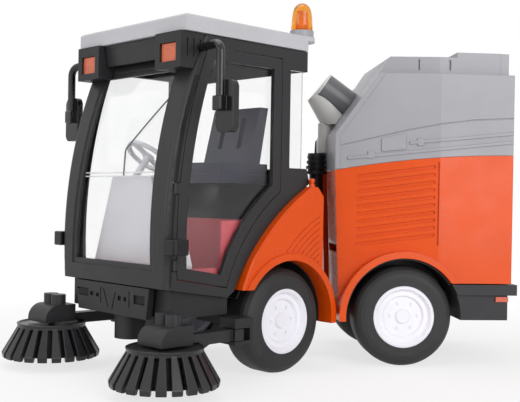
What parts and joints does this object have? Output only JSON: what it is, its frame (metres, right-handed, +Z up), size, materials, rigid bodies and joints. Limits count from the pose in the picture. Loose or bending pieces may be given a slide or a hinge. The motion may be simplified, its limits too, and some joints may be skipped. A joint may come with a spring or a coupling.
{
  "type": "toy street sweeper truck",
  "caption": "Toy articulated compact street sweeper: glazed cab with opening doors, two round brushes on swinging arms, tipping hopper with rear door, free wheels.",
  "frame": {"origin": "on the ground below the centre of the bounding box, in the bent rest pose", "axes": "+X forwards along the cab, +Y to its left, +Z up"},
  "size_m": [0.3242, 0.2198, 0.2299],
  "materials": {
    "tyre_black": "satin",
    "rim_white": "satin",
    "axle_steel": "bright",
    "cab_black": "satin",
    "frame_black": "satin",
    "inner_pale": "satin",
    "mirror_black": "gloss",
    "clear": "clear",
    "shell_grey": "satin",
    "elbow_pale": "gloss",
    "body_orange": "gloss",
    "bumper_grey": "satin",
    "amber": "clear",
    "lamp_orange": "gloss",
    "lamp_red": "gloss",
    "tub_red": "satin",
    "seat_grey": "satin",
    "arm_black": "satin",
    "brush_dark": "satin"
  },
  "bodies": {
    "front": {"front_chassis": "frame_black", "side_skirts": "frame_black", "front_axle": "axle_steel", "pivot_pin": "axle_steel", "front_plate": "frame_black", "suction_pipe": "frame_black", "cab_frame": "cab_black", "windscreen": "clear", "rear_glass": "clear", "roof": "shell_grey", "beacon_base": "shell_grey", "beacon_lens": "amber", "lamp_housings": "frame_black", "roof_lamps": "lamp_orange", "fender_left": "body_orange", "fender_right": "body_orange", "mirror_left": "mirror_black", "mirror_right": "mirror_black", "marker_lamps": "mirror_black", "cab_tub": "tub_red", "seat": "seat_grey", "console": "inner_pale", "steering_wheel": "inner_pale"},
    "rear": {"rear_chassis": "frame_black", "rear_axle": "axle_steel", "bumper": "bumper_grey", "tail_lamps": "lamp_red", "riser_pipe": "frame_black", "bellows": "frame_black"},
    "hopper": {"hopper_body": "body_orange", "hopper_cover": "shell_grey", "duct_stub": "shell_grey", "duct_elbow": "elbow_pale"},
    "rear_door": {"hopper_door": "body_orange"},
    "door_left": {"door_left": "cab_black", "door_glass_left": "clear"},
    "front_wheel_left": {"front_tyre_left": "tyre_black", "front_rim_left": "rim_white"},
    "rear_wheel_left": {"rear_tyre_left": "tyre_black", "rear_rim_left": "rim_white"},
    "arm_left": {"brush_arm_left": "arm_black"},
    "brush_left": {"brush_left": "brush_dark"},
    "door_right": {"door_right": "cab_black", "door_glass_right": "clear"},
    "front_wheel_right": {"front_tyre_right": "tyre_black", "front_rim_right": "rim_white"},
    "rear_wheel_right": {"rear_tyre_right": "tyre_black", "rear_rim_right": "rim_white"},
    "arm_right": {"brush_arm_right": "arm_black"},
    "brush_right": {"brush_right": "brush_dark"}
  },
  "joints": [
    {"name": "articulation", "type": "hinge", "parent": "front", "child": "rear", "pos_m": [-0.01615, -0.02253, 0.032], "axis": [0, 0, 1], "range_deg": [-1.1, 78.9]},
    {"name": "hopper_tip", "type": "hinge", "parent": "rear", "child": "hopper", "pos_m": [-0.12402, 0.06451, 0.0552], "axis": [-0.628, -0.7782, 0], "range_deg": [0, 45]},
    {"name": "rear_door_hinge", "type": "hinge", "parent": "hopper", "child": "rear_door", "pos_m": [-0.12658, 0.06658, 0.1236], "axis": [0.628, 0.7782, 0], "range_deg": [0, 80]},
    {"name": "front_wheel_left_spin", "type": "hinge", "parent": "front", "child": "front_wheel_left", "pos_m": [0.03835, 0.01957, 0.032], "axis": [0, 1, 0], "continuous": true},
    {"name": "rear_wheel_left_spin", "type": "hinge", "parent": "rear", "child": "rear_wheel_left", "pos_m": [-0.04435, 0.05432, 0.032], "axis": [0.628, 0.7782, 0], "continuous": true},
    {"name": "door_left_hinge", "type": "hinge", "parent": "front", "child": "door_left", "pos_m": [0.12195, 0.02797, 0.09], "axis": [0, 0, -1], "range_deg": [0, 36]},
    {"name": "arm_left_swing", "type": "hinge", "parent": "front", "child": "arm_left", "pos_m": [0.07935, 0.03247, 0.029], "axis": [0, 0, 1], "range_deg": [-8, 20]},
    {"name": "brush_left_spin", "type": "hinge", "parent": "arm_left", "child": "brush_left", "pos_m": [0.13245, 0.03517, 0.02], "axis": [0, 0, 1], "continuous": true},
    {"name": "front_wheel_right_spin", "type": "hinge", "parent": "front", "child": "front_wheel_right", "pos_m": [0.03835, -0.06463, 0.032], "axis": [0, 1, 0], "continuous": true},
    {"name": "rear_wheel_right_spin", "type": "hinge", "parent": "rear", "child": "rear_wheel_right", "pos_m": [-0.09722, -0.01121, 0.032], "axis": [0.628, 0.7782, 0], "continuous": true},
    {"name": "door_right_hinge", "type": "hinge", "parent": "front", "child": "door_right", "pos_m": [0.12195, -0.07303, 0.09], "axis": [0, 0, 1], "range_deg": [0, 36]},
    {"name": "arm_right_swing", "type": "hinge", "parent": "front", "child": "arm_right", "pos_m": [0.07935, -0.07753, 0.029], "axis": [0, 0, -1], "range_deg": [-8, 20]},
    {"name": "brush_right_spin", "type": "hinge", "parent": "arm_right", "child": "brush_right", "pos_m": [0.13245, -0.08023, 0.02], "axis": [0, 0, 1], "continuous": true}
  ]
}
